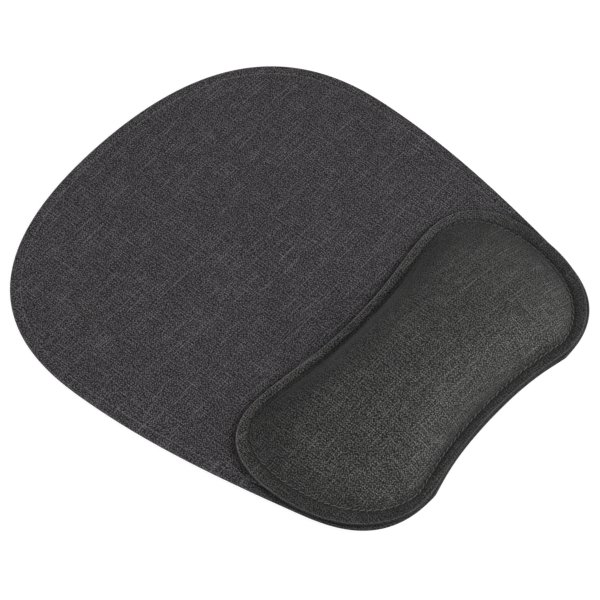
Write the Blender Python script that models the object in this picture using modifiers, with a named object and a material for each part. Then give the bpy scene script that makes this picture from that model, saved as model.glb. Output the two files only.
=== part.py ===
"""Fabric mouse pad with a padded wrist rest fixed along its near edge.

Metres, +Z up, +X to the user's right, +Y away from the user.  The origin lies on the table, under the
middle of the pad.  Every flat layer and every cover follows one of two outlines, the pad's or the rest's,
moved inwards by a stated distance.
"""
import math
from collections import namedtuple

import bmesh
import bpy
from mathutils import Vector
from mathutils.geometry import interpolate_bezier

MM = 0.001

# An outline is drawn for its right half only, from the middle of the far edge, clockwise, to the middle of
# the near edge.  Each knot has a place, the heading of the edge there in degrees, and the reach of its two
# curve handles, all in millimetres.
Knot = namedtuple("Knot", "x y heading reach_in reach_out")

PAD_KNOTS = (
    Knot(0.0, 125.0, 0.0, 0.0, 67.0),         # middle of the far edge
    Knot(112.0, 37.0, -90.0, 64.0, 41.0),     # widest place
    Knot(94.5, -86.0, -103.0, 46.0, 20.0),    # end of the nearly straight side
    Knot(50.0, -125.0, -180.0, 31.0, 6.0),    # near lobe
    Knot(0.0, -119.0, -180.0, 34.0, 0.0),     # middle of the near edge, which curves in
)
REST_KNOTS = (
    Knot(0.0, -37.0, 0.0, 0.0, 32.0),         # middle of the far edge, which curves in
    Knot(64.5, -31.5, 0.0, 20.0, 20.0),       # far lobe
    Knot(95.5, -68.0, -90.0, 23.0, 36.0),     # widest place
    Knot(53.0, -124.6, -180.0, 23.0, 8.0),    # near lobe
    Knot(0.0, -118.6, -180.0, 30.0, 0.0),     # middle of the near edge
)
CHORD = 9.0                                   # longest straight piece of an outline, millimetres

# Layers
GAP = 0.3 * MM                                # between every piece and its neighbour
FABRIC = 0.4 * MM                             # thickness of the woven cover
FOLD_RADIUS = 0.9 * MM                        # of a cover's rolled edge, outside
BASE_THICKNESS = 0.5 * MM
BACKING_THICKNESS = 0.4 * MM
THREAD_RADIUS = 0.2 * MM

# Pad
PAD_HEM = 8.0 * MM                            # width of fabric turned in under the pad
PAD_HEM_Z = BASE_THICKNESS + GAP              # underside of the turned-in fabric
PAD_TOP_Z = PAD_HEM_Z + 2 * FOLD_RADIUS
PAD_BASE_INSET = 2.5 * MM
PAD_FOAM_INSET = PAD_HEM + 2 * GAP
PAD_STITCH_INSET = 5.0 * MM
CHANNEL_DEPTH = GAP + 2 * THREAD_RADIUS       # groove that the stitch line pulls into the cover
CHANNEL_FLOOR = 0.6 * MM                      # half width at its floor
CHANNEL_MOUTH = 1.4 * MM                      # half width at its mouth

# Rest
REST_HEM = 10.0 * MM
REST_HEM_Z = PAD_TOP_Z + GAP
FLANGE_TOP_Z = REST_HEM_Z + 2 * FOLD_RADIUS
BACKING_INSET = 1.0 * MM
ADHESIVE_INSET = REST_HEM + 2 * GAP
REST_STITCH_INSET = 5.0 * MM
FOOT_FROM_STITCH = 0.9 * MM                   # the crown rises just inside the stitch line
END_EXTRA = 2.8 * MM                          # the flange is this much wider at its left and right ends
OVERALL_HEIGHT = 24.0 * MM
CROWN_SHOULDER = 0.85                         # less makes the crown rise more steeply at its foot
CROWN_ARCH = 2.1                              # 2 is an arch all along, more flattens the top: left to right
CROWN_FLATTER = 1.7                           # added to it from far to near
FAR_FOOT_EASE = 0.6                           # added to the shoulder at the far side, for a softer foot
# Each ring of the crown, as a share of the way from its middle to its foot
CROWN_RINGS = (0.15, 0.35, 0.52, 0.66, 0.78, 0.87, 0.94, 0.98, 1.0)
FOAM_FOOT_INSET = 2.0 * MM                    # of the core, from the crown's foot

# Shading and steps round a rolled edge, degrees
SHARP_ANGLE = 40.0                            # edges sharper than this stay crisp
FOLD_ANGLES = (90.0, 45.0, 0.0, -45.0, -90.0)

# Finishes: colour, roughness, metallic
FINISHES = {
    "pad_fabric": ((0.054, 0.050, 0.054), 0.90, 0.0),
    "rest_fabric": ((0.056, 0.056, 0.055), 0.90, 0.0),
    "thread": ((0.110, 0.108, 0.106), 0.70, 0.0),
    "foam": ((0.160, 0.160, 0.165), 0.95, 0.0),
    "memory_foam": ((0.620, 0.590, 0.480), 0.95, 0.0),
    "rubber": ((0.020, 0.020, 0.021), 0.65, 0.0),
    "board": ((0.040, 0.040, 0.042), 0.75, 0.0),
    "adhesive": ((0.550, 0.530, 0.470), 0.45, 0.0),
}


# ---------------------------------------------------------------- scene

def clear_scene():
    for old in list(bpy.data.objects):
        bpy.data.objects.remove(old, do_unlink=True)


def make_collection(name):
    collection = bpy.data.collections.new(name)
    bpy.context.scene.collection.children.link(collection)
    return collection


def make_material(finish):
    colour, roughness, metallic = FINISHES[finish]
    material = bpy.data.materials.new(finish)
    material.use_nodes = True
    shader = material.node_tree.nodes["Principled BSDF"]
    shader.inputs["Base Color"].default_value = (*colour, 1.0)
    shader.inputs["Roughness"].default_value = roughness
    shader.inputs["Metallic"].default_value = metallic
    return material


def add_object(name, data, finish, collection):
    data.materials.append(make_material(finish))
    made = bpy.data.objects.new(name, data)
    collection.objects.link(made)
    return made


# ---------------------------------------------------------------- outlines

def right_half(knots):
    """Points from the middle of the far edge to the middle of the near edge."""
    points = []
    for start, end in zip(knots[:-1], knots[1:]):
        heading_out = math.radians(start.heading)
        heading_in = math.radians(end.heading)
        knot_a = Vector((start.x, start.y)) * MM
        knot_b = Vector((end.x, end.y)) * MM
        handle_a = knot_a + Vector((math.cos(heading_out), math.sin(heading_out))) * start.reach_out * MM
        handle_b = knot_b - Vector((math.cos(heading_in), math.sin(heading_in))) * end.reach_in * MM
        reach = (handle_a - knot_a).length + (handle_b - handle_a).length + (knot_b - handle_b).length
        chords = math.ceil(reach / (CHORD * MM))
        points.extend(interpolate_bezier(knot_a, handle_a, handle_b, knot_b, chords + 1)[:-1])
    points.append(knot_b)
    return points


def closed_outline(knots):
    """The whole outline, clockwise seen from above, symmetric about X = 0."""
    right = right_half(knots)
    left = [Vector((-point.x, point.y)) for point in reversed(right[1:-1])]
    return right + left


def outward(points, index):
    """Unit vector out of a clockwise outline at one of its points."""
    along = points[(index + 1) % len(points)] - points[index - 1]
    return Vector((-along.y, along.x)).normalized()


def inset(points, distance, end_extra=0.0):
    """The outline moved inwards; end_extra is added where it faces left or right."""
    moved = []
    for index, point in enumerate(points):
        out = outward(points, index)
        moved.append(point - out * (distance + end_extra * abs(out.x)))
    return moved


def level(points, z):
    """The outline as a ring at one height."""
    return [Vector((point.x, point.y, z)) for point in points]


# ---------------------------------------------------------------- solids

def flat_sheet(name, points, bottom_z, thickness, finish, collection):
    """A sheet cut to an outline: a filled 2D curve with thickness."""
    curve = bpy.data.curves.new(name, "CURVE")
    curve.dimensions = "2D"
    curve.fill_mode = "BOTH"
    curve.extrude = thickness / 2
    spline = curve.splines.new("POLY")
    spline.points.add(len(points) - 1)
    for knot, point in zip(spline.points, points):
        knot.co = (point.x, point.y, 0.0, 1.0)
    spline.use_cyclic_u = True
    sheet = add_object(name, curve, finish, collection)
    sheet.location.z = bottom_z + thickness / 2
    return sheet


def thread_loop(name, points, centre_z, finish, collection):
    """One closed run of thread along an outline."""
    curve = bpy.data.curves.new(name, "CURVE")
    curve.dimensions = "3D"
    curve.bevel_depth = THREAD_RADIUS
    curve.bevel_resolution = 1
    spline = curve.splines.new("POLY")
    spline.points.add(len(points) - 1)
    for knot, point in zip(spline.points, points):
        knot.co = (point.x, point.y, 0.0, 1.0)
    spline.use_cyclic_u = True
    loop = add_object(name, curve, finish, collection)
    loop.location.z = centre_z
    return loop


def loft(name, rings, close_last=False):
    """A skin through rings of equal count, from the middle outwards; the first ring is filled."""
    shape = bmesh.new()
    rows = [[shape.verts.new(point) for point in ring] for ring in rings]
    shape.faces.new(list(reversed(rows[0])))
    for inner, outer in zip(rows[:-1], rows[1:]):
        for index in range(len(inner)):
            after = (index + 1) % len(inner)
            shape.faces.new((inner[index], inner[after], outer[after], outer[index]))
    if close_last:
        shape.faces.new(rows[-1])
    mesh = bpy.data.meshes.new(name)
    shape.to_mesh(mesh)
    shape.free()
    return mesh


def smooth_round(mesh):
    mesh.shade_smooth()
    mesh.set_sharp_from_angle(angle=math.radians(SHARP_ANGLE))


def cover_object(name, rings, finish, collection):
    """A fabric cover: an open skin given the fabric's thickness, inwards."""
    mesh = loft(name, rings)
    smooth_round(mesh)
    cover = add_object(name, mesh, finish, collection)
    solidify = cover.modifiers.new("Fabric thickness", "SOLIDIFY")
    solidify.thickness = FABRIC
    solidify.offset = -1.0
    solidify.use_even_offset = True
    return cover


def folded_edge(outline, hem_z, hem_width):
    """Rings for a rolled edge, from the top down, and the fabric turned in below it."""
    middle_z = hem_z + FOLD_RADIUS
    rings = []
    for degrees in FOLD_ANGLES:
        angle = math.radians(degrees)
        distance = FOLD_RADIUS * (1.0 - math.cos(angle))
        rings.append(level(inset(outline, distance), middle_z + FOLD_RADIUS * math.sin(angle)))
    rings.append(level(inset(outline, hem_width), hem_z))
    return rings


def crown_rings(foot, foot_z, rise):
    """Rings of a plump dome over a foot outline, from the middle outwards.

    Near the middle a ring is an ellipse, and towards the foot it takes up the foot's waist and lobes.
    """
    middle = Vector((0.0, (max(point.y for point in foot) + min(point.y for point in foot)) / 2))
    half_width = max(point.x for point in foot)
    half_depth = max(point.y for point in foot) - middle.y
    rings = [[] for _ in CROWN_RINGS]
    for point in foot:
        reach = (point - middle).length
        towards = (point - middle) / reach
        sideways = (towards.x / half_width) ** 2
        lengthways = (towards.y / half_depth) ** 2
        ellipse_reach = 1.0 / math.sqrt(sideways + lengthways)
        far_or_near = lengthways / (sideways + lengthways)
        power = CROWN_ARCH + CROWN_FLATTER * far_or_near
        shoulder = CROWN_SHOULDER + (FAR_FOOT_EASE * far_or_near if towards.y > 0.0 else 0.0)
        for ring, share in zip(rings, CROWN_RINGS):
            place = middle + towards * share * (ellipse_reach + (reach - ellipse_reach) * share ** 2)
            height = rise * (1.0 - share ** power) ** shoulder
            ring.append(Vector((place.x, place.y, foot_z + height)))
    return rings


# ---------------------------------------------------------------- pad

def pad_cover(outline, collection):
    floor_z = PAD_TOP_Z - CHANNEL_DEPTH
    channel = (
        (PAD_STITCH_INSET + CHANNEL_MOUTH, PAD_TOP_Z),
        (PAD_STITCH_INSET + CHANNEL_FLOOR, floor_z),
        (PAD_STITCH_INSET - CHANNEL_FLOOR, floor_z),
        (PAD_STITCH_INSET - CHANNEL_MOUTH, PAD_TOP_Z),
    )
    rings = [level(inset(outline, distance), z) for distance, z in channel]
    rings += folded_edge(outline, PAD_HEM_Z, PAD_HEM)
    return cover_object("pad_cover", rings, "pad_fabric", collection)


def pad_edge_thread(outline, collection):
    path = inset(outline, PAD_STITCH_INSET)
    return thread_loop("pad_edge_thread", path, PAD_TOP_Z - THREAD_RADIUS, "thread", collection)


def pad_foam(outline, collection):
    bottom_z = BASE_THICKNESS + GAP
    top_z = PAD_TOP_Z - FABRIC - GAP
    points = inset(outline, PAD_FOAM_INSET)
    return flat_sheet("pad_foam", points, bottom_z, top_z - bottom_z, "foam", collection)


def pad_base(outline, collection):
    points = inset(outline, PAD_BASE_INSET)
    return flat_sheet("pad_base", points, 0.0, BASE_THICKNESS, "rubber", collection)


# ---------------------------------------------------------------- rest

def crown_foot(outline, extra_inset=0.0):
    return inset(outline, REST_STITCH_INSET + FOOT_FROM_STITCH + extra_inset, END_EXTRA)


def rest_cover(outline, collection):
    rise = OVERALL_HEIGHT - FLANGE_TOP_Z
    rings = crown_rings(crown_foot(outline), FLANGE_TOP_Z, rise)
    rings += folded_edge(outline, REST_HEM_Z, REST_HEM)
    return cover_object("rest_cover", rings, "rest_fabric", collection)


def rest_seam_thread(outline, collection):
    path = inset(outline, REST_STITCH_INSET, END_EXTRA)
    centre_z = FLANGE_TOP_Z + GAP + THREAD_RADIUS
    return thread_loop("rest_seam_thread", path, centre_z, "thread", collection)


def rest_foam(outline, collection):
    bottom_z = FLANGE_TOP_Z - FABRIC
    rise = OVERALL_HEIGHT - FABRIC - GAP - bottom_z
    rings = crown_rings(crown_foot(outline, FOAM_FOOT_INSET), bottom_z, rise)
    mesh = loft("rest_foam", rings, close_last=True)
    smooth_round(mesh)
    return add_object("rest_foam", mesh, "memory_foam", collection)


def rest_backing(outline, collection):
    bottom_z = REST_HEM_Z + FABRIC + GAP
    points = inset(outline, BACKING_INSET)
    return flat_sheet("rest_backing", points, bottom_z, BACKING_THICKNESS, "board", collection)


def rest_adhesive(outline, collection):
    points = inset(outline, ADHESIVE_INSET)
    return flat_sheet("rest_adhesive", points, REST_HEM_Z, FABRIC, "adhesive", collection)


# ---------------------------------------------------------------- build

def build():
    clear_scene()
    parts = make_collection("wrist_rest_mouse_pad")
    pad = closed_outline(PAD_KNOTS)
    rest = closed_outline(REST_KNOTS)
    pad_base(pad, parts)
    pad_foam(pad, parts)
    pad_cover(pad, parts)
    pad_edge_thread(pad, parts)
    rest_adhesive(rest, parts)
    rest_backing(rest, parts)
    rest_foam(rest, parts)
    rest_cover(rest, parts)
    rest_seam_thread(rest, parts)


build()
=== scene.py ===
"""Looks of a fabric mouse pad with a padded wrist rest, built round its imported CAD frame.

Metres, +Z up, in the frame's own axes.  Outlines and heights are read from the frame.  Every piece is built
again here from them, finely enough to show its folds, its stitched grooves and its stitches.  The rest's
crown is simulated as cloth, and both its cover and its foam core follow the simulated skin.
"""

import math

import bpy
import numpy as np
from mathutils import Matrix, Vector
from mathutils.bvhtree import BVHTree


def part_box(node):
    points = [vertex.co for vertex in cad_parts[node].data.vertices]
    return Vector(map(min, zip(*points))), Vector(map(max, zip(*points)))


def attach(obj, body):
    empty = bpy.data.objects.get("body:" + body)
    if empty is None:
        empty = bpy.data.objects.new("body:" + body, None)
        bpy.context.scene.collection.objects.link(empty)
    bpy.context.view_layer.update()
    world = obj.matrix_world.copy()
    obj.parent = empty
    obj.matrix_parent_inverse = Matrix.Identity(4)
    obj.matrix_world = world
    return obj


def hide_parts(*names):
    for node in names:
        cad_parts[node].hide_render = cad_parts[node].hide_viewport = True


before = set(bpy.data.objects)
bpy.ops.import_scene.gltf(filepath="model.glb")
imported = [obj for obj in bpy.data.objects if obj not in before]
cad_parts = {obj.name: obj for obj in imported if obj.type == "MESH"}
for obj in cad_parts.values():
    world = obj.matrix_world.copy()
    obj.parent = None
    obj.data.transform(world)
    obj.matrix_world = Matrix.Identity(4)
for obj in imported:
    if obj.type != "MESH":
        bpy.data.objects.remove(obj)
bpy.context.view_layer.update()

MM = 0.001
TINY = 1e-9                              # keeps a division from meeting zero

# Outlines
SAME_CORNER = 0.1 * MM                   # corners of a sheet's top and bottom closer than this are one
CURVE_STEPS = 24                         # from one corner of an outline to the next
EDGE_SPACING = 1.3 * MM                  # between the points of a fine outline

# Cloth and rolled edges
FABRIC = 0.4 * MM                        # thickness of the woven cover
FOLD_STEPS = 14                          # round a rolled edge, which is half a turn
HEM_RINGS = (0.35, 0.7, 1.0)             # places across the fabric that is turned in below the edge
HIGHLIGHT_ANGLE = math.radians(58.0)          # up from the side of a rolled edge, to its painted highlight
HIGHLIGHT_SHARPNESS = 14                      # more makes that painted highlight narrower
STEEP = 0.3                              # a step with a smaller sideways share keeps the last heading

# Stitches
THREAD_RADIUS = 0.2 * MM
STITCH_PITCH = 3.2 * MM
STITCH_SHARE = 0.80                      # of the pitch that shows above the fabric
STITCH_DIP = 1.6 * THREAD_RADIUS         # from a stitch's middle down to its ends
STITCH_TAPER = 0.35                      # of the radius, that its ends are thinner
LENGTH_SPREAD = 0.06                     # standard deviation of a stitch's length, as a share of it
LEAN_SPREAD = 0.3                        # the same for how far it leans
STITCH_SIDES = 8
STITCH_STEPS = 9
STITCH_SEED = 7

# Pad
PAD_HEM = 8.0 * MM                       # width of the fabric turned in under it
PAD_STITCH_INSET = 5.0 * MM
PAD_STITCH_LEAN = 0.05 * MM
PAD_STITCH_RISE = 0.35 * THREAD_RADIUS   # of its middle line over the floor of the groove
PAD_GROOVE_DEPTH = 0.35 * MM
PAD_GROOVE_WIDTH = 0.8 * MM
PAD_GROOVE_REACH = 3                     # groove widths inside the stitches, where the fine rings start
PAD_GROOVE_RINGS = 22
PAD_FIELD_RINGS = 42                     # from the pad's middle to the groove
PAD_FIELD_START = 0.03                   # size of the innermost ring, as a share of the field
PAD_UNEVENNESS = 0.12 * MM
# painted highlight along the pad's rolled edge
PAD_EDGE_HIGHLIGHT = 0.3
PAD_BASE_INSET = 2.5 * MM
PAD_FOAM_INSET = 8.6 * MM

# Rest
REST_HEM = 10.0 * MM
SEAM_INSET = 5.0 * MM
SEAM_LEAN = 0.35 * MM
SEAM_RISE = 0.5 * THREAD_RADIUS          # of the stitches' middle line over the flange
END_EXTRA = 2.8 * MM                     # the flange is this much wider at its left and right ends
FOOT_FROM_SEAM = 0.9 * MM                # the crown rises just inside the stitch line
SEAM_GROOVE_DEPTH = 0.35 * MM
SEAM_GROOVE_WIDTH = 0.6 * MM
SEAM_GROOVE_OUTSIDE = 0.5 * MM           # from the stitches out to the groove that their pull makes
FLANGE_PUFF = 0.25 * MM
FLANGE_RINGS = 18
FLANGE_START = -0.15                     # they start inside the seam, by this share of the flange's width
# painted highlight along the rest's rolled edge
REST_EDGE_HIGHLIGHT = 1.7
BACKING_INSET = 1.0 * MM
ADHESIVE_INSET = 10.6 * MM

# Crown
CROWN_RINGS = 40
CROWN_START = 0.02                       # radians, of the innermost ring
CROWN_SHOULDER = 0.85                    # less makes the crown rise more steeply at its foot
CROWN_ARCH = 2.1                         # 2 is an arch all along, more flattens the top: left to right
CROWN_FLATTER = 1.7                      # added to it from far to near
FAR_FOOT_EASE = 0.6                      # added to the shoulder at the far side, where the foot eases out
CORE_FOOT_INSET = 2.0 * MM               # of the foam core, from the crown's foot

# Simulation of the crown
SIM_VOXEL = 4.5 * MM
SIM_PRESSURE = 80.0                      # so small a piece needs more than a large cushion does
SIM_FRAMES = 20
SIM_SKIRT = 3.0 * MM                     # the simulated shape goes on this far below the crown's foot
SIM_HELD_HEIGHT = 4.0 * MM               # the cloth is held at the foot, and free from this height up
SIM_SMOOTHING = 3                        # rounds of smoothing over the result
SIM_FADE = 6                             # more keeps the simulated shape closer to the foot
PUFF_ROOM = 0.6 * MM                     # the cloth starts this much lower than the crown's top
PUFF_LIMIT = 1.5 * MM                    # how far a point may move
ABOVE = 1.0                              # metres, a height well over the whole object

# Painted shade and light in the cloth's colour, for creases, cast shadows and sides facing towards or away
# from the light: 0 is open cloth, below 0 painted lighter
PAD_SHADOW = 1.5                         # painted shadow on the pad, right beside the rest
PAD_SHADOW_REACH = 3.0 * MM
PAD_EDGE_SHADOW_REACH = 12.0 * MM        # the same along the pad's own edge
FOOT_START = 0.84                        # from the crown's middle to its foot, where it starts to darken
FOOT_START_FAR = 0.20                    # taken off that at the far side
FOOT_START_NEAR = 0.13                   # added to it at the near side
FOOT_EASE = 0.7                          # less darkens it sooner
FLANGE_SHADE = 1.0
FLANGE_NEAR = 0.45                       # added at the near side
FLANGE_FAR = 1.9                         # taken off at the far side's edge, which catches the light
GROOVE_SHADE = 0.4                       # added in the groove beside the seam
GROOVE_FAR = 0.6                         # and added again at the far side
RIM_SHADE = 1.2
RIM_LOWER = 0.3                          # added over the first quarter of the rolled edge's rings
RIM_NEAR = 0.3
RIM_FAR = 1.5

# Weave: pitches in millimetres, of the threads that run away from the user and from left to right
WARP_PITCH = 0.56
WEFT_PITCH = 0.50
DRIFT = (1.2, 1.2, 0.0)                  # millimetres across, within which the threads wander
DRIFT_SCALE = 0.02
STRETCH = 9.0                            # millimetres, for which a weft thread keeps one tone
SLUB_SCALE = 0.055                       # along a thread; less makes longer slubs
SLUB_APART = 5.23                        # sets a thread's slubs apart from the next one's
CLOUD_SCALE = 0.05
WARP_SHORTNESS = 1.8                     # stretches and slubs are shorter by this factor in the warp
# How far each feature changes the cloth's brightness; the first five are multiplied by its contrast
WEFT_TONE = 1.1
WARP_TONE = 1.4
SPECK = 4.0
WEFT_SLUB = 1.1
WARP_SLUB = 0.75
CLOUD = 0.05
# painted highlight along the rolled edges
HIGHLIGHT_GAIN = 3.0
DARKEST = 0.10
SLUB_RANGE = (0.66, 0.70)                # of the noise: no slub below it, a full one above it
BULGE_LEVELS = (0.5, 1.2)                # painted shade between the threads, and brightness on top of them
SHADING_RANGE = (-1.0, 1.8)               # least and most of the painted shading that is set out above
SHADING_LEVELS = (1.4, 0.28)              # brightness at the least and at the most
THREAD_BUMP = 0.08 * MM
# Neighbours of a crossing, in threads across and down
BESIDE = ((1, 0), (-1, 0))
ALL_ROUND = (*BESIDE, (0, 1), (0, -1))
# Sets of chance values, any numbers that lie well apart
SPECK_LAYER = 1.0
WEFT_LAYER = 3.0
WARP_LAYER = 50.0
# Brightness, tint, turn of the weave in degrees, contrast; the rest's cloth lies slightly askew
PAD_CLOTH = (0.0362, (1.045, 0.965, 1.045), 0.0, 1.65)
REST_CLOTH = (0.0332, (1.0, 1.0, 0.975), 2.8, 1.85)

# Other materials
PLIES = 2                                # spun together into the sewing thread
PLY_PITCH = 0.55 * MM                    # along the thread, from one ply to the next
THREAD_LEVELS = (0.09, 0.20)             # painted shade between its plies, and brightness on top of them
THREAD_SHADED = 0.25                     # brightness left by the painted shade where a stitch lies in the crease
THREAD_TINT = (1.0, 0.99, 0.97)
LATTICE_PITCH = 2.4 * MM
RUBBER_LEVELS = (0.017, 0.026)           # clean and dusty
RUBBER_TINT = (1.0, 1.0, 1.03)
# Brightness, tint, and the size of a foam's cells or the roughness of a sheet
MEMORY_FOAM = (0.60, (1.0, 0.95, 0.78), 0.5 * MM)
SHEET_FOAM = (0.16, (1.0, 1.0, 1.03), 0.3 * MM)
BOARD = (0.040, (1.0, 1.0, 1.05), 0.75)
ADHESIVE = (0.53, (1.04, 1.0, 0.89), 0.45)
WHITE = (1.0, 1.0, 1.0)
SHEET_BEVEL = 0.05 * MM
BASE_BEVEL = 0.1 * MM

# Camera and light; azimuth 0 stands in front, at -Y, and 90 to the right, at +X
CAMERA_AZIMUTH = -49.887
CAMERA_ELEVATION = 54.864
CAMERA_AIM = Vector((-4.75, -9.09, 0.0)) * MM
CAMERA_DISTANCE = 1.2697
CAMERA_LENS = 162.0
CAMERA_SENSOR = 36.0
SOFTBOX_SIZE = 0.8
SOFTBOX_DISTANCE = 1.6
# Name, azimuth and elevation in degrees, power in watts
SOFTBOXES = (
    ("key", 45.0, 25.0, 21.5),
    ("fill", -90.0, 25.0, 16.0),
    ("top", 180.0, 75.0, 2.5),
)
AMBIENT = 0.06
FLOOR_HALF = 3.0
FLOOR_DROP = 0.02 * MM                   # keeps the floor clear of the pad's base
FLOOR_LEVEL = 0.2                        # how much light it throws back
FLOOR_GLOW = 0.92                        # which only the camera sees


# ---------------------------------------------------------------- outlines

def sheet_corners(node):
    """Corners of a flat CAD sheet in order round its middle, clockwise seen from above."""
    places = np.array([vertex.co[:2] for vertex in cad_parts[node].data.vertices])
    arms = places - (places.min(axis=0) + places.max(axis=0)) / 2
    ordered = places[np.argsort(-np.arctan2(arms[:, 1], arms[:, 0]))]
    apart = np.linalg.norm(ordered - np.roll(ordered, 1, axis=0), axis=1) > SAME_CORNER
    return ordered[apart]


def measured(points):
    """A closed outline with its first point repeated, and the way travelled along it to each point."""
    closed = np.vstack([points, points[:1]])
    steps = np.linalg.norm(np.diff(closed, axis=0), axis=1)
    return closed, np.concatenate([[0.0], np.cumsum(steps)])


def at_stops(stops, travelled, values):
    """Values along an outline, at one stop or at many."""
    return np.stack([np.interp(stops, travelled, values[:, axis]) for axis in (0, 1)], axis=-1)


def evenly_spaced(curve, spacing):
    closed, travelled = measured(curve)
    count = round(travelled[-1] / spacing)
    return at_stops(np.linspace(0.0, travelled[-1], count, endpoint=False), travelled, closed)


def smooth_outline(corners, spacing):
    """An evenly spaced closed curve through the corners."""
    before = np.roll(corners, 1, axis=0)[:, None]
    start = corners[:, None]
    end = np.roll(corners, -1, axis=0)[:, None]
    beyond = np.roll(corners, -2, axis=0)[:, None]
    t = np.linspace(0.0, 1.0, CURVE_STEPS, endpoint=False)[None, :, None]
    curve = 0.5 * (
        2 * start
        + (end - before) * t
        + (2 * before - 5 * start + 4 * end - beyond) * t ** 2
        + (3 * start - before - 3 * end + beyond) * t ** 3
    )
    return evenly_spaced(curve.reshape(-1, 2), spacing)


def outward(points):
    """Unit vectors out of a clockwise outline."""
    along = np.roll(points, -1, axis=0) - np.roll(points, 1, axis=0)
    out = np.stack([-along[:, 1], along[:, 0]], axis=1)
    return out / np.linalg.norm(out, axis=1)[:, None]


def inset(points, distance, end_extra=0.0):
    """The outline moved inwards; end_extra is added where it faces left or right."""
    out = outward(points)
    return points - out * (distance + end_extra * np.abs(out[:, :1]))


def full_outline(sheet, cover):
    """The outline of a cover, found from the flat sheet that lies a little inside it."""
    sheet_low, sheet_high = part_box(sheet)
    cover_low, cover_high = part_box(cover)
    margin = ((cover_high.x - cover_low.x) - (sheet_high.x - sheet_low.x)) / 2
    return inset(smooth_outline(sheet_corners(sheet), EDGE_SPACING), -margin)


def at_height(points, z):
    """Flat points given one height, or a height each."""
    return np.column_stack([points, np.broadcast_to(z, len(points))])


# ---------------------------------------------------------------- meshes

def add_piece(name, vertices, faces, node, material, smooth=True):
    """A mesh that stands for a CAD node, with the given material, hung under the root body; the node's CAD
    part is hidden.
    """
    mesh = bpy.data.meshes.new(name)
    mesh.from_pydata(np.asarray(vertices).tolist(), [], faces)
    if smooth:
        mesh.shade_smooth()
    mesh.materials.append(material)
    piece = bpy.data.objects.new(name, mesh)
    bpy.context.scene.collection.objects.link(piece)
    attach(piece, "root")
    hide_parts(node)
    return piece


def store(mesh, name, values):
    """Keeps one value, or one vector, for each vertex of a mesh, for its material to read."""
    values = np.asarray(values, dtype=np.float32)
    if values.ndim == 1:
        mesh.attributes.new(name, "FLOAT", "POINT").data.foreach_set("value", values)
    else:
        mesh.attributes.new(name, "FLOAT_VECTOR", "POINT").data.foreach_set("vector", values.ravel())


def ring_faces(ring_count, size, closed_out=False):
    """Faces between rings of equal size, listed from the middle outwards and clockwise seen from above.

    The innermost ring is filled, and the outermost one too where closed_out is set."""
    faces = []
    for ring in range(ring_count - 1):
        inner = ring * size
        outer = inner + size
        for index in range(size):
            after = (index + 1) % size
            faces.append((inner + index, inner + after, outer + after, outer + index))
    faces.append(tuple(range(size - 1, -1, -1)))
    if closed_out:
        last = (ring_count - 1) * size
        faces.append(tuple(range(last, last + size)))
    return faces


def unrolled(rings, middle):
    """Where each point of a ringed cover lay in the flat cloth before it was bent to shape.

    A step that goes mostly down, or back under the edge, keeps the heading of the step before it."""
    heading = rings[0][:, :2] - middle
    heading /= np.linalg.norm(heading, axis=1)[:, None]
    flat = [rings[0][:, :2]]
    for before, after in zip(rings[:-1], rings[1:]):
        step = np.linalg.norm(after - before, axis=1)[:, None]
        move = after[:, :2] - before[:, :2]
        length = np.linalg.norm(move, axis=1)[:, None]
        turned_under = np.sum(move * heading, axis=1)[:, None] < 0
        usable = (length > STEEP * step) & ~turned_under
        heading = np.where(usable, move / np.maximum(length, TINY), heading)
        flat.append(flat[-1] + heading * step)
    flat = np.vstack(flat)
    return np.column_stack([flat, np.zeros(len(flat))])


def cover_piece(name, rings, painted_highlight, painted_shading, middle, node, material):
    """A fabric cover: an open skin of rings, given the fabric's thickness on its inside."""
    faces = ring_faces(len(rings), len(rings[0]))
    cover = add_piece(name, np.vstack(rings), faces, node, material)
    store(cover.data, "weave", unrolled(rings, middle))
    # painted highlight along the rolled edges, for the material to read
    store(cover.data, "painted_highlight", np.concatenate(painted_highlight))
    # painted shade and painted light in the cloth, for the material to read
    store(cover.data, "painted_shading", np.concatenate(painted_shading))
    solidify = cover.modifiers.new("Fabric thickness", "SOLIDIFY")
    solidify.thickness = FABRIC
    solidify.offset = -1.0
    return cover


def sheet_piece(name, points, node, material, bevel):
    """A flat sheet with slightly rounded edges, between the heights of the CAD node it stands for."""
    low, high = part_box(node)
    rings = [
        at_height(inset(points, bevel), high.z),
        at_height(points, high.z - bevel),
        at_height(points, low.z + bevel),
        at_height(inset(points, bevel), low.z),
    ]
    faces = ring_faces(len(rings), len(points), closed_out=True)
    return add_piece(name, np.vstack(rings), faces, node, material, smooth=False)


def rolled_edge(outline, low_z, radius, hem_width, lightest):
    """Rings and their painted highlight for a rolled edge, from the top down, and the fabric turned in
    below it.
    """
    rings = []
    painted_highlight = []
    for angle in np.linspace(math.pi / 2, -math.pi / 2, FOLD_STEPS + 1):
        points = inset(outline, radius * (1.0 - math.cos(angle)))
        rings.append(at_height(points, low_z + radius + radius * math.sin(angle)))
        # painted highlight, lightest on the fold at the angle given above
        facing = max(0.0, math.cos(angle - HIGHLIGHT_ANGLE))
        painted_highlight.append(np.full(len(points), lightest * facing ** HIGHLIGHT_SHARPNESS))
    for share in HEM_RINGS:
        points = inset(outline, radius + share * (hem_width - radius))
        rings.append(at_height(points, low_z))
        painted_highlight.append(np.zeros(len(points)))
    return rings, painted_highlight


# ---------------------------------------------------------------- stitches

def stitch_faces(first):
    """Faces round one stitch and over its two ends, all facing out; first is its first vertex."""
    faces = []
    for step in range(STITCH_STEPS - 1):
        ring = first + step * STITCH_SIDES
        beyond = ring + STITCH_SIDES
        for turn in range(STITCH_SIDES):
            after = (turn + 1) % STITCH_SIDES
            faces.append((ring + turn, ring + after, beyond + after, beyond + turn))
    faces.append(tuple(first + turn for turn in reversed(range(STITCH_SIDES))))
    last = first + (STITCH_STEPS - 1) * STITCH_SIDES
    faces.append(tuple(last + turn for turn in range(STITCH_SIDES)))
    return faces


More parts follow.
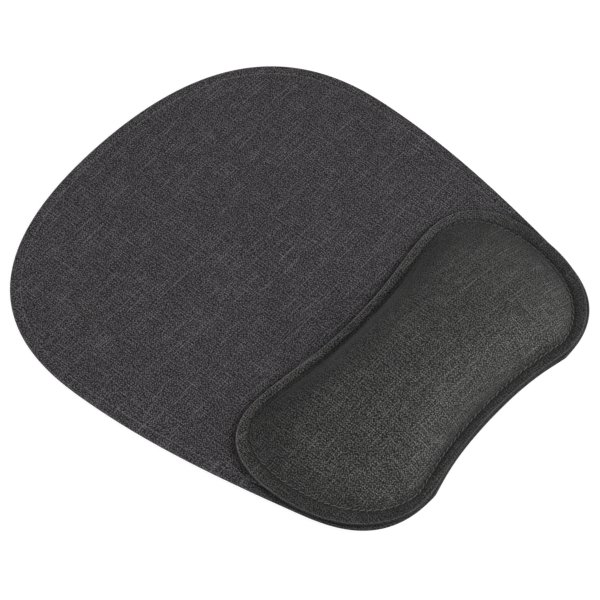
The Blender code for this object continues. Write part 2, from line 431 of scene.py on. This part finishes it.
def stitch_piece(name, path, z, lean, shaded, node, material):
    """A run of separate stitches along a closed path: each one rises out of the fabric and dips back in.

    Shaded stitches get painted shade where they face away from the user, in the crease behind the crown."""
    closed, travelled = measured(path)
    count = round(travelled[-1] / STITCH_PITCH)
    pitch = travelled[-1] / count
    out = outward(path)
    out = np.vstack([out, out[:1]])
    chance = np.random.default_rng(STITCH_SEED)
    vertices = []
    twist = []
    shade = []
    faces = []
    for stitch in range(count):
        length = pitch * STITCH_SHARE * (1.0 + LENGTH_SPREAD * chance.standard_normal())
        slant = lean * (1.0 + LEAN_SPREAD * chance.standard_normal())
        centre = (stitch + 0.5) * pitch
        faces += stitch_faces(len(vertices))
        for t in np.linspace(-1.0, 1.0, STITCH_STEPS):
            stop = (centre + t * length / 2) % travelled[-1]
            side = at_stops(stop, travelled, out)
            side /= np.linalg.norm(side)
            place = at_stops(stop, travelled, closed) + side * slant * t
            height = z - STITCH_DIP * abs(t) ** 3
            radius = THREAD_RADIUS * (1.0 - STITCH_TAPER * t ** 4)
            for turn in range(STITCH_SIDES):
                angle = 2.0 * math.pi * turn / STITCH_SIDES
                sideways = radius * math.cos(angle)
                upwards = radius * math.sin(angle)
                vertices.append((*(place + side * sideways), height + upwards))
                twist.append((stitch * pitch + t * length / 2, angle * THREAD_RADIUS, 0.0))
                shade.append(max(0.0, side[1]) if shaded else 0.0)
    piece = add_piece(name, vertices, faces, node, material)
    store(piece.data, "twist", twist)
    store(piece.data, "shade", shade)
    return piece


# ---------------------------------------------------------------- materials

class Surface:
    """A procedural material, with short calls for the nodes it uses."""

    def __init__(self, name):
        self.material = bpy.data.materials.new(name)
        self.material.use_nodes = True
        self.nodes = self.material.node_tree.nodes
        self.links = self.material.node_tree.links
        self.shader = self.nodes["Principled BSDF"]

    def node(self, kind, inputs, **settings):
        made = self.nodes.new(kind)
        for key, value in settings.items():
            setattr(made, key, value)
        for key, value in inputs.items():
            self.connect(value, made.inputs[key])
        return made

    def connect(self, value, socket):
        """Links a socket to another node's output, or sets it to a plain value."""
        if isinstance(value, bpy.types.NodeSocket):
            self.links.new(value, socket)
        else:
            socket.default_value = value

    def math(self, operation, *values):
        return self.node("ShaderNodeMath", dict(enumerate(values)), operation=operation).outputs[0]

    def vector_math(self, operation, inputs):
        return self.node("ShaderNodeVectorMath", inputs, operation=operation).outputs["Vector"]

    def vector(self, x, y, z):
        return self.node("ShaderNodeCombineXYZ", {0: x, 1: y, 2: z}).outputs[0]

    def axes(self, vector):
        """The X, Y and Z of a vector."""
        return self.node("ShaderNodeSeparateXYZ", {0: vector}).outputs

    def place(self):
        """Where the shaded point is, in metres."""
        return self.node("ShaderNodeTexCoord", {}).outputs["Object"]

    def stored(self, name):
        return self.node("ShaderNodeAttribute", {}, attribute_name=name).outputs

    def noise(self, vector, scale, detail=2.0):
        made = self.node("ShaderNodeTexNoise", {"Vector": vector, "Scale": scale, "Detail": detail})
        return made.outputs["Fac"]

    def chance(self, vector):
        return self.node("ShaderNodeTexWhiteNoise", {"Vector": vector}).outputs["Value"]

    def ramp(self, value, low, high, to_low, to_high):
        inputs = {"Value": value, 1: low, 2: high, 3: to_low, 4: to_high}
        return self.node("ShaderNodeMapRange", inputs).outputs["Result"]

    def half_waves(self, value):
        """0 at every whole number and 1 half-way between them, like threads lying side by side."""
        return self.math("SINE", self.math("MULTIPLY", self.math("PINGPONG", value, 0.5), math.pi))

    def tinted(self, level, tint):
        """A colour made of one brightness and one tint."""
        scaled = [self.math("MULTIPLY", level, part) for part in tint]
        return self.node("ShaderNodeCombineColor", dict(enumerate(scaled))).outputs["Color"]

    def finish(self, colour, roughness, height, height_scale, strength=1.0):
        """Sets colour, roughness and bump, and gives the finished material."""
        self.connect(colour, self.shader.inputs["Base Color"])
        self.connect(roughness, self.shader.inputs["Roughness"])
        inputs = {"Height": height, "Distance": height_scale, "Strength": strength}
        bump = self.node("ShaderNodeBump", inputs)
        self.connect(bump.outputs["Normal"], self.shader.inputs["Normal"])
        return self.material


def cloth_places(look, turn):
    """Where the point lies in the flat cloth, in millimetres: straight, and along its wandering threads."""
    inputs = {"Vector": look.stored("weave")["Vector"], "Angle": math.radians(turn)}
    laid = look.node("ShaderNodeVectorRotate", inputs, rotation_type="Z_AXIS").outputs["Vector"]
    straight = look.vector_math("SCALE", {0: laid, "Scale": 1.0 / MM})
    drift = look.node("ShaderNodeTexNoise", {"Vector": straight, "Scale": DRIFT_SCALE, "Detail": 1.0})
    centred = look.vector_math("SUBTRACT", {0: drift.outputs["Color"], 1: (0.5, 0.5, 0.5)})
    return straight, look.vector_math("MULTIPLY_ADD", {0: centred, 1: DRIFT, 2: straight})


def standing_out(look, across, down, layer, neighbours):
    """A chance value at each crossing, less its neighbours' mean: light and dark lie side by side."""
    mean = 0.0
    for step_across, step_down in neighbours:
        place = look.vector(look.math("ADD", across, step_across), look.math("ADD", down, step_down), layer)
        mean = look.math("MULTIPLY_ADD", look.chance(place), 1.0 / len(neighbours), mean)
    return look.math("SUBTRACT", look.chance(look.vector(across, down, layer)), mean)


def thread_tones(look, along, index, shortness, layer):
    """How much lighter or darker each thread is than the next ones, and its few long bright slubs."""
    stretch = look.math("FLOOR", look.math("MULTIPLY", along, shortness / STRETCH))
    tone = standing_out(look, index, stretch, layer, BESIDE)
    scaled_along = look.math("MULTIPLY", along, SLUB_SCALE * shortness)
    place = look.vector(scaled_along, look.math("MULTIPLY", index, SLUB_APART), layer)
    slub = look.ramp(look.noise(place, 1.0, 0.0), *SLUB_RANGE, 0.0, 1.0)
    return tone, slub


def woven_fabric(name, level, tint, turn, contrast):
    """Plain-woven heather cloth: light and dark fibres spun into threads of uneven tone."""
    look = Surface(name)
    straight, along_threads = cloth_places(look, turn)
    x, y = look.axes(along_threads)[:2]
    warp = look.math("DIVIDE", x, WARP_PITCH)
    weft = look.math("DIVIDE", y, WEFT_PITCH)
    warp_index = look.math("FLOOR", warp)
    weft_index = look.math("FLOOR", weft)
    weft_tone, weft_slub = thread_tones(look, x, weft_index, 1.0, WEFT_LAYER)
    warp_tone, warp_slub = thread_tones(look, y, warp_index, WARP_SHORTNESS, WARP_LAYER)
    speck = standing_out(look, warp_index, weft_index, SPECK_LAYER, ALL_ROUND)
    cloud = look.ramp(look.noise(straight, CLOUD_SCALE, 3.0), 0.3, 0.7, -1.0, 1.0)

    brightness = 1.0
    for feature, weight in (
        (weft_tone, WEFT_TONE * contrast),
        (warp_tone, WARP_TONE * contrast),
        (speck, SPECK * contrast),
        (weft_slub, WEFT_SLUB * contrast),
        (warp_slub, WARP_SLUB * contrast),
        (cloud, CLOUD),
        # painted highlight along the rolled edges
        (look.stored("painted_highlight")["Fac"], HIGHLIGHT_GAIN),
    ):
        brightness = look.math("MULTIPLY_ADD", feature, weight, brightness)
    brightness = look.math("MAXIMUM", brightness, DARKEST)

    bulge = look.math("SQRT", look.math("MULTIPLY", look.half_waves(weft), look.half_waves(warp)))
    # painted shade between the threads, lighter on their tops
    brightness = look.math("MULTIPLY", brightness, look.ramp(bulge, 0.0, 1.0, *BULGE_LEVELS))
    # painted shading: darker in creases, cast shadows and where the cloth faces away from the light,
    # lighter where it catches it
    painted_shading = look.ramp(look.stored("painted_shading")["Fac"], *SHADING_RANGE, *SHADING_LEVELS)
    brightness = look.math("MULTIPLY", brightness, painted_shading)
    look.shader.inputs["Sheen Weight"].default_value = 0.10
    look.shader.inputs["Sheen Roughness"].default_value = 0.5
    look.shader.inputs["Specular IOR Level"].default_value = 0.35
    colour = look.tinted(look.math("MULTIPLY", brightness, level), tint)
    return look.finish(colour, 0.70, bulge, THREAD_BUMP, 0.7)


def sewing_thread():
    """Spun two-ply thread: its plies wind round it."""
    look = Surface("sewing_thread")
    twist = look.stored("twist")["Vector"]
    along, around = look.axes(twist)[:2]
    plies_along = look.math("DIVIDE", along, PLY_PITCH)
    plies_around = look.math("DIVIDE", around, 2.0 * math.pi * THREAD_RADIUS / PLIES)
    wound = look.math("ADD", plies_along, plies_around)
    wave = look.math("SINE", look.math("MULTIPLY", wound, 2.0 * math.pi))
    ply = look.math("MULTIPLY_ADD", wave, 0.5, 0.5)
    fibre = look.ramp(look.noise(twist, 3000.0), 0.2, 0.8, 0.8, 1.2)
    # painted shade on stitches in the crease behind the crown
    shade = look.ramp(look.stored("shade")["Fac"], 0.0, 1.0, 1.0, THREAD_SHADED)
    # painted shade between the plies
    level = look.math("MULTIPLY", look.ramp(ply, 0.0, 1.0, *THREAD_LEVELS), fibre)
    level = look.math("MULTIPLY", level, shade)
    look.shader.inputs["Sheen Weight"].default_value = 0.2
    return look.finish(look.tinted(level, THREAD_TINT), 0.7, ply, THREAD_BUMP)


def foam(name, level, tint, cell):
    """Fine open-celled foam."""
    look = Surface(name)
    inputs = {"Vector": look.place(), "Scale": 1.0 / cell}
    cells = look.node("ShaderNodeTexVoronoi", inputs).outputs["Distance"]
    patch = look.ramp(look.noise(look.place(), 60.0), 0.3, 0.7, 0.94, 1.06)
    brightness = look.math("MULTIPLY", look.ramp(cells, 0.0, 0.7, 0.75, 1.1), patch)
    return look.finish(look.tinted(look.math("MULTIPLY", brightness, level), tint), 0.95, cells, cell / 3)


def non_slip_rubber():
    """Matt rubber, embossed with a fine lattice that grips the desk."""
    look = Surface("non_slip_rubber")
    x, y = look.axes(look.place())[:2]
    one_way = look.math("PINGPONG", look.math("DIVIDE", look.math("ADD", x, y), LATTICE_PITCH), 0.5)
    other_way = look.math("PINGPONG", look.math("DIVIDE", look.math("SUBTRACT", x, y), LATTICE_PITCH), 0.5)
    raised = look.ramp(look.math("MINIMUM", one_way, other_way), 0.05, 0.16, 1.0, 0.0)
    dust = look.noise(look.place(), 90.0, 4.0)
    lighter_bars = look.ramp(raised, 0.0, 1.0, 0.8, 1.2)
    level = look.math("MULTIPLY", look.ramp(dust, 0.3, 0.75, *RUBBER_LEVELS), lighter_bars)
    roughness = look.ramp(dust, 0.3, 0.7, 0.6, 0.75)
    return look.finish(look.tinted(level, RUBBER_TINT), roughness, raised, 0.15 * MM)


def plain_sheet(name, level, tint, roughness):
    """A rolled sheet with a faint grain along its length."""
    look = Surface(name)
    drawn = look.vector_math("MULTIPLY", {0: look.place(), 1: (1.0, 12.0, 1.0)})
    grain = look.noise(drawn, 150.0, 4.0)
    colour = look.tinted(look.math("MULTIPLY", look.ramp(grain, 0.3, 0.7, 0.9, 1.1), level), tint)
    return look.finish(colour, roughness, grain, 0.02 * MM)


def pale_floor():
    """Plain white table. The camera sees it evenly bright; it throws only a little light back up."""
    look = Surface("pale_floor")
    seen = look.node("ShaderNodeLightPath", {}).outputs["Is Camera Ray"]
    mottle = look.ramp(look.noise(look.place(), 8.0), 0.0, 1.0, 0.97, 1.0)
    thrown_back = look.math("MULTIPLY", mottle, FLOOR_LEVEL)
    look.connect(look.tinted(thrown_back, WHITE), look.shader.inputs["Base Color"])
    look.connect(look.tinted(mottle, WHITE), look.shader.inputs["Emission Color"])
    look.connect(look.math("MULTIPLY", seen, FLOOR_GLOW), look.shader.inputs["Emission Strength"])
    look.shader.inputs["Roughness"].default_value = 0.9
    return look.material


# ---------------------------------------------------------------- pad

def crease_shade(points, rest, reach):
    """Painted shadow on the pad beside and under the rest's edge, down to 0 at the given reach."""
    away = np.linalg.norm(points[:, None] - rest[None], axis=2).min(axis=1)
    return PAD_SHADOW * np.clip(1.0 - away / reach, 0.0, 1.0)


def unevenness(points):
    """The cloth's slight waviness over the foam, 0 at its highest: slow crossing waves and a quick one."""
    x = points[:, 0] / MM
    y = points[:, 1] / MM
    wave = np.sin(x / 17.0 + 0.6) * np.sin(y / 23.0 - 0.4) + 0.5 * np.sin(x / 7.0 + y / 9.0)
    return PAD_UNEVENNESS * (0.5 - wave / 3.0)


def pad_top_rings(outline, top_z, radius):
    """Rings from the pad's middle, over the stitched groove, to the top of the rolled edge."""
    groove_start = PAD_STITCH_INSET + PAD_GROOVE_REACH * PAD_GROOVE_WIDTH
    field = inset(outline, groove_start)
    rings = []
    for share in np.linspace(PAD_FIELD_START, 1.0, PAD_FIELD_RINGS):
        points = field * share
        rings.append(at_height(points, top_z - unevenness(points)))
    for distance in np.linspace(groove_start, radius, PAD_GROOVE_RINGS)[1:-1]:
        points = inset(outline, distance)
        pull = PAD_GROOVE_DEPTH * np.exp(-((distance - PAD_STITCH_INSET) / PAD_GROOVE_WIDTH) ** 2)
        rings.append(at_height(points, top_z - unevenness(points) - pull))
    return rings


def pad_cover(outline, rest):
    """The whole cover of the pad: its field, the stitched groove, the rolled edge and the hem."""
    low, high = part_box("pad_cover")
    radius = (high.z - low.z) / 2
    top = pad_top_rings(outline, high.z, radius)
    edge, edge_highlight = rolled_edge(outline, low.z, radius, PAD_HEM, PAD_EDGE_HIGHLIGHT)
    painted_highlight = [np.zeros(len(outline)) for _ in top] + edge_highlight
    # painted shadow of the rest on the pad's field and along the pad's edge
    painted_shading = [crease_shade(ring[:, :2], rest, PAD_SHADOW_REACH) for ring in top]
    painted_shading += [crease_shade(ring[:, :2], rest, PAD_EDGE_SHADOW_REACH) for ring in edge]
    material = woven_fabric("pad_fabric", *PAD_CLOTH)
    return cover_piece("pad_cover_fabric", top + edge, painted_highlight, painted_shading, np.zeros(2), "pad_cover",
                       material)


def pad_edge_stitches(outline, thread):
    path = inset(outline, PAD_STITCH_INSET)
    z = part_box("pad_cover")[1].z - PAD_GROOVE_DEPTH + PAD_STITCH_RISE
    return stitch_piece("pad_edge_stitches", path, z, PAD_STITCH_LEAN, False, "pad_edge_thread",
                        thread)


# ---------------------------------------------------------------- crown

def crown_angles():
    """The crown's rings lie closer together towards its foot, as the sine of these angles."""
    return np.linspace(CROWN_START, math.pi / 2, CROWN_RINGS)


def crown_rings(foot, foot_z, rise):
    """Rings of a plump dome over a foot outline, from the middle outwards.

    Near the middle a ring is an ellipse, and towards the foot it takes up the foot's waist and lobes."""
    middle = (foot.min(axis=0) + foot.max(axis=0)) / 2
    half = (foot.max(axis=0) - foot.min(axis=0)) / 2
    arms = foot - middle
    reach = np.linalg.norm(arms, axis=1)
    towards = arms / reach[:, None]
    shares = (towards / half) ** 2
    ellipse_reach = 1.0 / np.sqrt(shares.sum(axis=1))
    lengthways = shares[:, 1] / shares.sum(axis=1)
    power = CROWN_ARCH + CROWN_FLATTER * lengthways
    shoulder = CROWN_SHOULDER + FAR_FOOT_EASE * np.where(towards[:, 1] > 0.0, lengthways, 0.0)
    rings = []
    for angle in crown_angles():
        u = math.sin(angle)
        distance = u * (ellipse_reach + (reach - ellipse_reach) * u ** 2)
        height = rise * (1.0 - u ** power) ** shoulder
        rings.append(at_height(middle + towards * distance[:, None], foot_z + height))
    return rings


def bake_modifiers(piece):
    """Replaces a piece's mesh by what its modifiers make of it, and takes them off."""
    graph = bpy.context.evaluated_depsgraph_get()
    made = bpy.data.meshes.new_from_object(piece.evaluated_get(graph))
    piece.modifiers.clear()
    piece.data = made


def places_of(mesh):
    """A mesh's vertices, as rows of x, y and z."""
    places = np.empty(len(mesh.vertices) * 3, dtype=np.float32)
    mesh.vertices.foreach_get("co", places)
    return places.reshape(-1, 3).astype(float)


def closed_crown(foot, foot_z, rise):
    """The crown as an evenly meshed closed shape, which goes on a little below its foot."""
    rings = crown_rings(foot, foot_z, rise)
    rings.append(at_height(foot, foot_z - SIM_SKIRT))
    mesh = bpy.data.meshes.new("crown_simulation")
    mesh.from_pydata(np.vstack(rings).tolist(), [], ring_faces(len(rings), len(foot), closed_out=True))
    crown = bpy.data.objects.new("crown_simulation", mesh)
    bpy.context.scene.collection.objects.link(crown)
    remesh = crown.modifiers.new("Even mesh", "REMESH")
    remesh.mode = "VOXEL"
    remesh.voxel_size = SIM_VOXEL
    bake_modifiers(crown)
    return crown


def puff_as_cloth(crown, heights):
    """Runs the cloth under pressure and keeps its last shape. It is held at and below its foot."""
    held = crown.vertex_groups.new(name="held")
    for index, height in enumerate(heights):
        held.add([index], float(np.clip(1.0 - height / SIM_HELD_HEIGHT, 0.0, 1.0)), "REPLACE")
    cloth = crown.modifiers.new("Cloth", "CLOTH")
    cloth.settings.use_pressure = True
    cloth.settings.uniform_pressure_force = SIM_PRESSURE
    cloth.settings.effector_weights.gravity = 0.0
    cloth.settings.vertex_group_mass = "held"
    for frame_number in range(1, SIM_FRAMES + 1):
        bpy.context.scene.frame_set(frame_number)
    bake_modifiers(crown)
    bpy.context.scene.frame_set(1)


def cap_moves(crown, start):
    """Brings back every point that moved further than PUFF_LIMIT."""
    move = places_of(crown.data) - start
    length = np.linalg.norm(move, axis=1)[:, None]
    capped = start + move * np.minimum(1.0, PUFF_LIMIT / np.maximum(length, TINY))
    crown.data.vertices.foreach_set("co", capped.astype(np.float32).ravel())


def simulated_crown(foot, foot_z, rise):
    """The crown's skin as cloth, puffed out by pressure from a slightly lower shape, to measure on."""
    crown = closed_crown(foot, foot_z, rise - PUFF_ROOM)
    start = places_of(crown.data)
    puff_as_cloth(crown, start[:, 2] - foot_z)
    cap_moves(crown, start)
    smooth = crown.modifiers.new("Smooth", "CORRECTIVE_SMOOTH")
    smooth.iterations = SIM_SMOOTHING
    smooth.use_only_smooth = True
    crown.modifiers.new("Finer", "SUBSURF").levels = 1
    bake_modifiers(crown)
    faces = [face.vertices[:] for face in crown.data.polygons]
    skin = BVHTree.FromPolygons(places_of(crown.data).tolist(), faces)
    bpy.data.objects.remove(crown, do_unlink=True)
    return skin


def laid_on(rings, skin, foot_z, top_z):
    """The crown's rings moved onto the simulated skin, less and less towards the foot.

    The result is stretched upwards, so that its highest point meets the CAD model's top."""
    settled = []
    for angle, ring in zip(crown_angles(), rings):
        share = 1.0 - math.sin(angle) ** SIM_FADE
        heights = []
        for x, y, z in ring:
            found = skin.ray_cast(Vector((x, y, ABOVE)), Vector((0.0, 0.0, -1.0)))[0]
            heights.append(z if found is None else z + (found.z - z) * share)
        settled.append(at_height(ring[:, :2], np.array(heights)))
    stretch = (top_z - foot_z) / (max(ring[:, 2].max() for ring in settled) - foot_z)
    return [at_height(ring[:, :2], foot_z + (ring[:, 2] - foot_z) * stretch) for ring in settled]


# ---------------------------------------------------------------- rest

def flange_height():
    """The flange's top: the rest's rolled edge is as thick as the pad'look."""
    pad_low, pad_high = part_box("pad_cover")
    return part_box("rest_cover")[0].z + pad_high.z - pad_low.z


def rest_crown(outline):
    """The outer skin of the crown, which the cover follows and the foam core lies just inside.
"""
    foot_z = flange_height()
    top_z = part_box("rest_cover")[1].z
    foot = inset(outline, SEAM_INSET + FOOT_FROM_SEAM, END_EXTRA)
    rings = crown_rings(foot, foot_z, top_z - foot_z)
    return laid_on(rings, simulated_crown(foot, foot_z, top_z - foot_z), foot_z, top_z)


def crown_painted_shading(far, near):
    """Painted shade towards the crown's foot, which starts higher up at the far side, away from the light.
    """
    start = FOOT_START - FOOT_START_FAR * far + FOOT_START_NEAR * near
    return [np.clip((math.sin(angle) - start) / (1.0 - start), 0.0, 1.0) ** FOOT_EASE
            for angle in crown_angles()]


def flange_rings(outline, flange_z, radius, far, near):
    """Rings and their painted shading, from just inside the seam to the top of the rolled edge."""
    rings = []
    painted_shading = []
    for share in np.linspace(FLANGE_START, 1.0, FLANGE_RINGS)[1:-1]:
        distance = SEAM_INSET + (radius - SEAM_INSET) * share
        outside = max(share, 0.0)
        from_groove = distance - SEAM_INSET + SEAM_GROOVE_OUTSIDE
        crease = math.exp(-(from_groove / SEAM_GROOVE_WIDTH) ** 2)
        puff = FLANGE_PUFF * math.sin(math.pi * outside)
        points = inset(outline, distance, END_EXTRA * (1.0 - outside))
        rings.append(at_height(points, flange_z - SEAM_GROOVE_DEPTH * crease + puff))
        # painted shade on the flange and in the seam's groove, and painted light on the far side's edge
        painted_shading.append(FLANGE_SHADE + (GROOVE_SHADE + GROOVE_FAR * far) * crease
                       + FLANGE_NEAR * near - FLANGE_FAR * outside * far)
    return rings, painted_shading


def rim_painted_shading(count, far, near):
    """Painted shading of the rolled edge's rings: painted shade below its top, painted light at the far
    side.
    """
    return [RIM_SHADE + RIM_LOWER * min(1.0, 4 * step / count) + RIM_NEAR * near - RIM_FAR * far
            for step in range(count)]


def rest_cover(outline, crown):
    """The whole cover of the rest: the crown, the flange round it, the rolled edge and the hem."""
    low_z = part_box("rest_cover")[0].z
    flange_z = flange_height()
    radius = (flange_z - low_z) / 2
    far = np.clip(outward(outline)[:, 1], 0.0, 1.0)
    near = np.clip(-outward(outline)[:, 1], 0.0, 1.0)
    flange, flange_painted_shading = flange_rings(outline, flange_z, radius, far, near)
    edge, edge_highlight = rolled_edge(outline, low_z, radius, REST_HEM, REST_EDGE_HIGHLIGHT)
    painted_highlight = [np.zeros(len(outline)) for _ in crown + flange] + edge_highlight
    painted_shading = crown_painted_shading(far, near) + flange_painted_shading + rim_painted_shading(len(edge), far, near)
    middle = crown[0][:, :2].mean(axis=0)
    material = woven_fabric("rest_fabric", *REST_CLOTH)
    return cover_piece("rest_cover_fabric", crown + flange + edge, painted_highlight, painted_shading, middle, "rest_cover",
                       material)


def rest_seam_stitches(outline, thread):
    path = inset(outline, SEAM_INSET, END_EXTRA)
    z = flange_height() + SEAM_RISE
    return stitch_piece("rest_seam_stitches", path, z, SEAM_LEAN, True, "rest_seam_thread",
                        thread)


def rest_foam(crown):
    """The core: the crown's shape again, a little narrower and lower, and closed underneath."""
    low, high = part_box("rest_foam")
    middle = crown[0][:, :2].mean(axis=0)
    foot_z = flange_height()
    stretch = (high.z - low.z) / (max(ring[:, 2].max() for ring in crown) - foot_z)
    reach = np.linalg.norm(crown[-1][:, :2] - middle, axis=1)[:, None]
    rings = []
    for ring in crown:
        places = middle + (ring[:, :2] - middle) * (1.0 - CORE_FOOT_INSET / reach)
        rings.append(at_height(places, low.z + (ring[:, 2] - foot_z) * stretch))
    faces = ring_faces(len(rings), len(rings[0]), closed_out=True)
    return add_piece("rest_foam_core", np.vstack(rings), faces, "rest_foam",
                     foam("memory_foam", *MEMORY_FOAM))


# ---------------------------------------------------------------- flat layers

def pad_base(pad):
    sheet_piece("pad_base_sheet", inset(pad, PAD_BASE_INSET), "pad_base",
                non_slip_rubber(), BASE_BEVEL)


def pad_foam(pad):
    sheet_piece("pad_foam_sheet", inset(pad, PAD_FOAM_INSET), "pad_foam",
                foam("sheet_foam", *SHEET_FOAM), SHEET_BEVEL)


def rest_backing(rest):
    sheet_piece("rest_backing_board", inset(rest, BACKING_INSET), "rest_backing",
                plain_sheet("board", *BOARD), SHEET_BEVEL)


def rest_adhesive(rest):
    sheet_piece("rest_adhesive_sheet", inset(rest, ADHESIVE_INSET), "rest_adhesive",
                plain_sheet("adhesive", *ADHESIVE), SHEET_BEVEL)


# ---------------------------------------------------------------- stage

def floor():
    mesh = bpy.data.meshes.new("floor")
    signs = ((-1, -1), (1, -1), (1, 1), (-1, 1))
    corners = [(x * FLOOR_HALF, y * FLOOR_HALF, -FLOOR_DROP) for x, y in signs]
    mesh.from_pydata(corners, [], [(0, 1, 2, 3)])
    mesh.materials.append(pale_floor())
    ground = bpy.data.objects.new("floor", mesh)
    bpy.context.scene.collection.objects.link(ground)


def stand_facing(thing, azimuth, elevation, distance, aim):
    """Puts a light or the camera at a distance from a point and turns it to face the point."""
    turn = math.radians(azimuth)
    climb = math.radians(elevation)
    level = math.cos(climb)
    back = Vector((math.sin(turn) * level, -math.cos(turn) * level, math.sin(climb)))
    thing.location = aim + back * distance
    thing.rotation_euler = back.to_track_quat("Z", "Y").to_euler()
    bpy.context.scene.collection.objects.link(thing)


def softbox(name, azimuth, elevation, power):
    """A soft square light."""
    data = bpy.data.lights.new(name, "AREA")
    data.size = SOFTBOX_SIZE
    data.energy = power
    light = bpy.data.objects.new(name, data)
    stand_facing(light, azimuth, elevation, SOFTBOX_DISTANCE, Vector((0.0, 0.0, 0.0)))


def surroundings():
    """A white room: the camera sees it pure white, and it lights the object faintly and evenly."""
    world = bpy.data.worlds.new("studio")
    world.use_nodes = True
    nodes = world.node_tree.nodes
    links = world.node_tree.links
    ambient = nodes["Background"]
    ambient.inputs["Color"].default_value = (*WHITE, 1.0)
    ambient.inputs["Strength"].default_value = AMBIENT
    seen = nodes.new("ShaderNodeBackground")
    seen.inputs["Color"].default_value = (*WHITE, 1.0)
    path = nodes.new("ShaderNodeLightPath")
    mix = nodes.new("ShaderNodeMixShader")
    links.new(path.outputs["Is Camera Ray"], mix.inputs[0])
    links.new(ambient.outputs[0], mix.inputs[1])
    links.new(seen.outputs[0], mix.inputs[2])
    links.new(mix.outputs[0], nodes["World Output"].inputs["Surface"])
    bpy.context.scene.world = world


def camera():
    data = bpy.data.cameras.new("camera")
    data.lens = CAMERA_LENS
    data.sensor_width = CAMERA_SENSOR
    eye = bpy.data.objects.new("camera", data)
    stand_facing(eye, CAMERA_AZIMUTH, CAMERA_ELEVATION, CAMERA_DISTANCE, CAMERA_AIM)
    bpy.context.scene.camera = eye


# ---------------------------------------------------------------- build

def build_object():
    pad = full_outline("pad_base", "pad_cover")
    rest = full_outline("rest_backing", "rest_cover")
    thread = sewing_thread()
    pad_cover(pad, rest)
    pad_edge_stitches(pad, thread)
    crown = rest_crown(rest)
    rest_cover(rest, crown)
    rest_seam_stitches(rest, thread)
    rest_foam(crown)
    pad_base(pad)
    pad_foam(pad)
    rest_backing(rest)
    rest_adhesive(rest)


def build_stage():
    floor()
    for box in SOFTBOXES:
        softbox(*box)
    surroundings()
    camera()
    bpy.context.scene.view_settings.view_transform = "Standard"


build_object()
build_stage()
